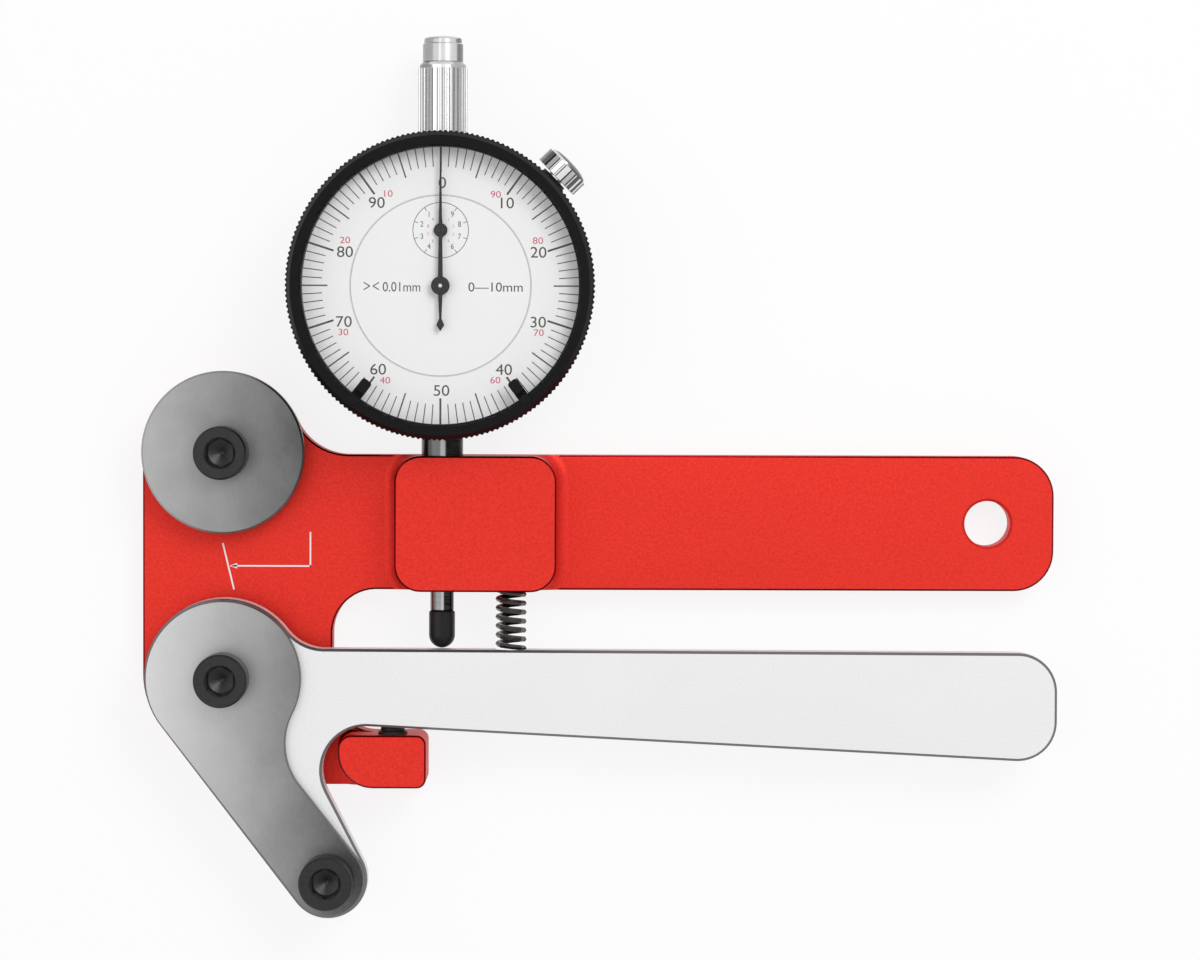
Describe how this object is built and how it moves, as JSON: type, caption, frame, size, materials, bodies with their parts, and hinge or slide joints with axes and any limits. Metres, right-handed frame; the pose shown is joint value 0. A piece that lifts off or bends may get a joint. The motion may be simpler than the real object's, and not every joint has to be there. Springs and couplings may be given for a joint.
{
  "type": "spoke tension meter",
  "caption": "Hand-held gauge that bends a spoke between its pins: squeezing the sprung lever drives the plunger of a dial indicator clamped in the frame.",
  "frame": {"origin": "on the lever's pivot axis, on the rear face of the frame", "axes": "+X along the handles to their free end, +Y up the gauge, +Z out of the dial"},
  "size_m": [0.1758, 0.1694, 0.0241],
  "materials": {
    "frame_red": "red anodised over a fine blasted grain",
    "bright_steel": "turned or ground bright",
    "black_oxide": "black oxide, satin",
    "stop_black": "black, satin",
    "plated": "satin plated",
    "spindle_steel": "ground",
    "tip_black": "black, smooth",
    "case_black": "black, satin",
    "bezel_black": "black anodised, satin",
    "lever_silver": "clear anodised over a fine blasted grain",
    "brass": "brushed",
    "bronze": "sintered",
    "movement_steel": "turned",
    "hand_black": "black, satin",
    "marker_black": "black, satin",
    "dial_white": "white, matt",
    "crystal": "clear",
    "spring_steel": "dark spring wire"
  },
  "bodies": {
    "frame": {"frame": "frame_red", "upper_disc": "bright_steel", "upper_bolt": "black_oxide", "pivot_sleeve": "bright_steel", "pivot_bolt": "black_oxide", "stop_screw": "stop_black", "stem_set_screw": "black_oxide", "stem": "plated", "upper_sleeve": "plated", "dial_case": "case_black", "back_cover": "case_black", "back_cover_screws": "movement_steel", "movement_plate": "brass", "movement_bridge": "brass", "dial_centre": "dial_white", "return_spring": "spring_steel"},
    "lever": {"lever": "lever_silver", "leg_plate": "bright_steel", "lever_bush": "bronze", "lower_bolt": "black_oxide", "lower_pin": "bright_steel"},
    "plunger": {"spindle": "spindle_steel", "plunger_tip": "tip_black", "lifting_cap": "plated"},
    "rack_gear": {"rack_pinion": "movement_steel", "rack_wheel": "brass"},
    "centre": {"centre_pinion": "movement_steel", "main_hand": "hand_black"},
    "counter": {"counter_arbor": "movement_steel", "counter_wheel": "brass", "counter_hand": "hand_black"},
    "bezel": {"bezel": "bezel_black", "crystal": "crystal", "dial_ring": "dial_white"},
    "marker_left": {"marker_left": "marker_black"},
    "marker_right": {"marker_right": "marker_black"},
    "lock": {"lock_screw": "plated"}
  },
  "joints": [
    {"name": "lever_swing", "type": "hinge", "parent": "frame", "child": "lever", "pos_m": [0, 0, 0.0115], "axis": [0, 0, 1], "range_deg": [0, 6], "stiffness_Nm_per_rad": 26.5, "springref_deg": -2.06, "deforming": ["return_spring"]},
    {"name": "plunger_slide", "type": "slide", "parent": "frame", "child": "plunger", "axis": [0, 1, 0], "range_m": [0, 0.00445]},
    {"name": "rack_gear_turn", "type": "hinge", "parent": "frame", "child": "rack_gear", "pos_m": [0.03811, 0.0651, 0.013], "axis": [0, 0, 1], "range_deg": [0, 160]},
    {"name": "main_hand_turn", "type": "hinge", "parent": "frame", "child": "centre", "pos_m": [0.0416, 0.075, 0.013], "axis": [0, 0, 1], "range_deg": [-1590, 0]},
    {"name": "counter_turn", "type": "hinge", "parent": "frame", "child": "counter", "pos_m": [0.0416, 0.0855, 0.013], "axis": [0, 0, 1], "range_deg": [0, 160]},
    {"name": "bezel_turn", "type": "hinge", "parent": "frame", "child": "bezel", "pos_m": [0.0416, 0.075, 0.02], "axis": [0, 0, 1], "continuous": true},
    {"name": "marker_left_slide", "type": "hinge", "parent": "bezel", "child": "marker_left", "pos_m": [0.0416, 0.075, 0.023], "axis": [0, 0, 1], "range_deg": [-140, 30]},
    {"name": "marker_right_slide", "type": "hinge", "parent": "bezel", "child": "marker_right", "pos_m": [0.0416, 0.075, 0.023], "axis": [0, 0, 1], "range_deg": [-30, 100]},
    {"name": "lock_turn", "type": "hinge", "parent": "frame", "child": "lock", "pos_m": [0.06333, 0.09583, 0.0129], "axis": [0.7218, 0.6921, 0], "range_deg": [0, 360]}
  ],
  "couplings": [
    {"joint": "plunger_slide", "follows": "lever_swing", "m_per_rad": 0.042},
    {"joint": "rack_gear_turn", "follows": "lever_swing", "ratio": 26.389},
    {"joint": "main_hand_turn", "follows": "lever_swing", "ratio": -263.89},
    {"joint": "counter_turn", "follows": "lever_swing", "ratio": 26.389}
  ]
}
